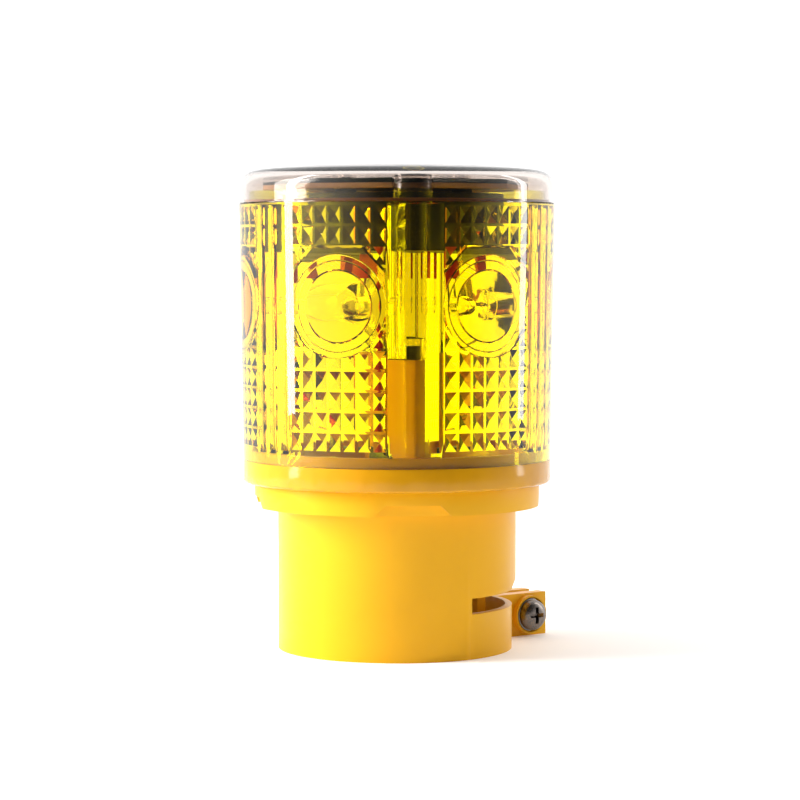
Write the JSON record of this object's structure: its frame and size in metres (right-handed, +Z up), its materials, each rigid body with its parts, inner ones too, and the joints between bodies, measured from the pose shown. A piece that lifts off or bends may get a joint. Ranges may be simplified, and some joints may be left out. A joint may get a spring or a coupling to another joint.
{
  "type": "barricade warning light",
  "caption": "Solar warning light with an amber ribbed lens, clear domed cap and a yellow split-clamp socket that slips over a round post.",
  "frame": {"origin": "centre of the socket's mouth, on the flat rim that the light stands on", "axes": "+Z up along the post's axis towards the cap; the clamp's two ears point along +X and the clamp screw lies along Y"},
  "size_m": [0.1011, 0.095, 0.147],
  "materials": {
    "yellow_plastic": "satin",
    "yellow_gloss": "gloss",
    "seal_rubber": "matte",
    "amber_lens": "clear",
    "clear_plastic": "clear",
    "tan_plastic": "satin",
    "board": "solder resist",
    "cell_film": "coated film",
    "tinned_metal": "tinned",
    "black_plastic": "moulded",
    "zinc_steel": "zinc plated",
    "component_black": "moulded epoxy",
    "copper_winding": "enamelled wire",
    "battery_wrap": "shrink sleeve",
    "led_resin": "clear epoxy",
    "red_plastic": "soft pvc",
    "spring_steel": "drawn wire",
    "dark_steel": "nickel plated"
  },
  "bodies": {
    "housing": {"socket": "yellow_plastic", "base_ring": "yellow_gloss", "base_seal": "seal_rubber", "lens": "amber_lens", "cap_seal": "seal_rubber", "top_cap": "clear_plastic", "solar_carrier": "tan_plastic", "solar_board": "board", "solar_cells": "cell_film", "cell_ribbons": "tinned_metal", "electronics_tray": "black_plastic", "tray_screws": "zinc_steel", "circuit_board": "board", "driver_chip": "component_black", "inductor": "copper_winding", "capacitor": "component_black", "resistors": "tan_plastic", "transistor": "component_black", "battery_cell": "battery_wrap", "battery_clips": "tinned_metal", "leds": "led_resin", "led_leads": "tinned_metal", "led_sleeves": "red_plastic", "wire_red": "red_plastic", "wire_black": "black_plastic", "case_screws": "zinc_steel", "socket_screws": "zinc_steel", "switch_plate": "yellow_plastic", "switch_seal": "seal_rubber", "switch_body": "black_plastic", "switch_pins": "tinned_metal", "switch_spring": "spring_steel", "clamp_nut": "zinc_steel"},
    "button": {"switch_button": "yellow_plastic"},
    "washer": {"clamp_washer": "zinc_steel"},
    "screw": {"clamp_screw": "dark_steel"}
  },
  "joints": [
    {"name": "button_press", "type": "slide", "parent": "housing", "child": "button", "axis": [0, 0, 1], "range_m": [0, 0.0025], "stiffness_N_per_m": 900, "springref_m": -0.001, "deforming": ["switch_spring"]},
    {"name": "screw_back_out", "type": "slide", "parent": "housing", "child": "washer", "axis": [0, -1, 0], "range_m": [0, 0.0032]},
    {"name": "screw_turn", "type": "hinge", "parent": "washer", "child": "screw", "pos_m": [0.04625, -0.0078, 0.0066], "axis": [0, -1, 0], "range_deg": [0, 1440]}
  ],
  "couplings": [
    {"joint": "screw_turn", "follows": "screw_back_out", "rad_per_m": 7853.9}
  ]
}
